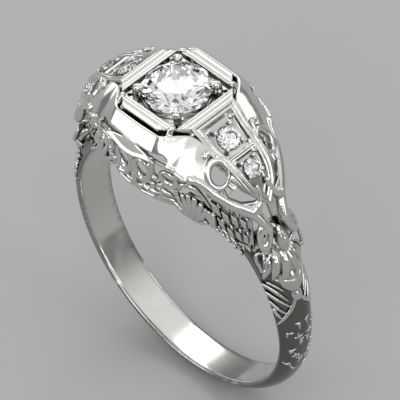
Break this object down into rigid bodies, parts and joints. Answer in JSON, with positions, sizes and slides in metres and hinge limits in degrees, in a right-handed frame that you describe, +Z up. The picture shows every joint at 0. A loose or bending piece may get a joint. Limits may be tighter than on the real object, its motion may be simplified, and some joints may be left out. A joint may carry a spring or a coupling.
{
  "type": "engagement ring",
  "caption": "Pierced white gold engagement ring with a round centre diamond in a square stepped head, small diamonds on tapering shoulder trays and scrolled filigree sides.",
  "frame": {"origin": "centre of the finger hole", "axes": "+Y along the finger, +Z up through the centre stone, X across the shoulders"},
  "size_m": [0.0194, 0.0084, 0.0242],
  "materials": {
    "band_gold": "polished white gold with faint wear",
    "shoulder_gold": "polished white gold",
    "head_gold": "polished white gold, sharp die-struck edges",
    "filigree_gold": "polished white gold, darkened in the recesses",
    "bead_gold": "bright burnished beads",
    "diamond": "clear faceted diamond"
  },
  "bodies": {
    "root": {"accent_diamond_lower_left": "diamond", "accent_diamond_lower_right": "diamond", "accent_diamond_upper_left": "diamond", "accent_diamond_upper_right": "diamond", "centre_diamond": "diamond", "corner_prongs": "bead_gold", "fan_leaf_back_left": "filigree_gold", "fan_leaf_back_right": "filigree_gold", "fan_leaf_front_left": "filigree_gold", "fan_leaf_front_right": "filigree_gold", "gallery_flower_back_left": "filigree_gold", "gallery_flower_back_right": "filigree_gold", "gallery_flower_front_left": "filigree_gold", "gallery_flower_front_right": "filigree_gold", "gallery_leaves_back": "filigree_gold", "gallery_leaves_front": "filigree_gold", "gallery_rail_back": "filigree_gold", "gallery_rail_front": "filigree_gold", "head_skirt_back": "head_gold", "head_skirt_front": "head_gold", "hole_curl_back_left": "filigree_gold", "hole_curl_back_right": "filigree_gold", "hole_curl_front_left": "filigree_gold", "hole_curl_front_right": "filigree_gold", "rim_beads_back_left": "bead_gold", "rim_beads_back_right": "bead_gold", "rim_beads_front_left": "bead_gold", "rim_beads_front_right": "bead_gold", "scroll_back_left": "filigree_gold", "scroll_back_right": "filigree_gold", "scroll_front_left": "filigree_gold", "scroll_front_right": "filigree_gold", "seat_collet": "head_gold", "shank": "band_gold", "shoulder_bud_left": "shoulder_gold", "shoulder_bud_right": "shoulder_gold", "shoulder_leaf_left": "shoulder_gold", "shoulder_leaf_right": "shoulder_gold", "shoulder_tray_left": "head_gold", "shoulder_tray_right": "head_gold", "side_loop_back_left": "shoulder_gold", "side_loop_back_right": "shoulder_gold", "side_loop_front_left": "shoulder_gold", "side_loop_front_right": "shoulder_gold", "stone_box": "head_gold", "tray_beads_left": "bead_gold", "tray_beads_right": "bead_gold", "trellis_back_left": "filigree_gold", "trellis_back_right": "filigree_gold", "trellis_front_left": "filigree_gold", "trellis_front_right": "filigree_gold"}
  },
  "joints": []
}
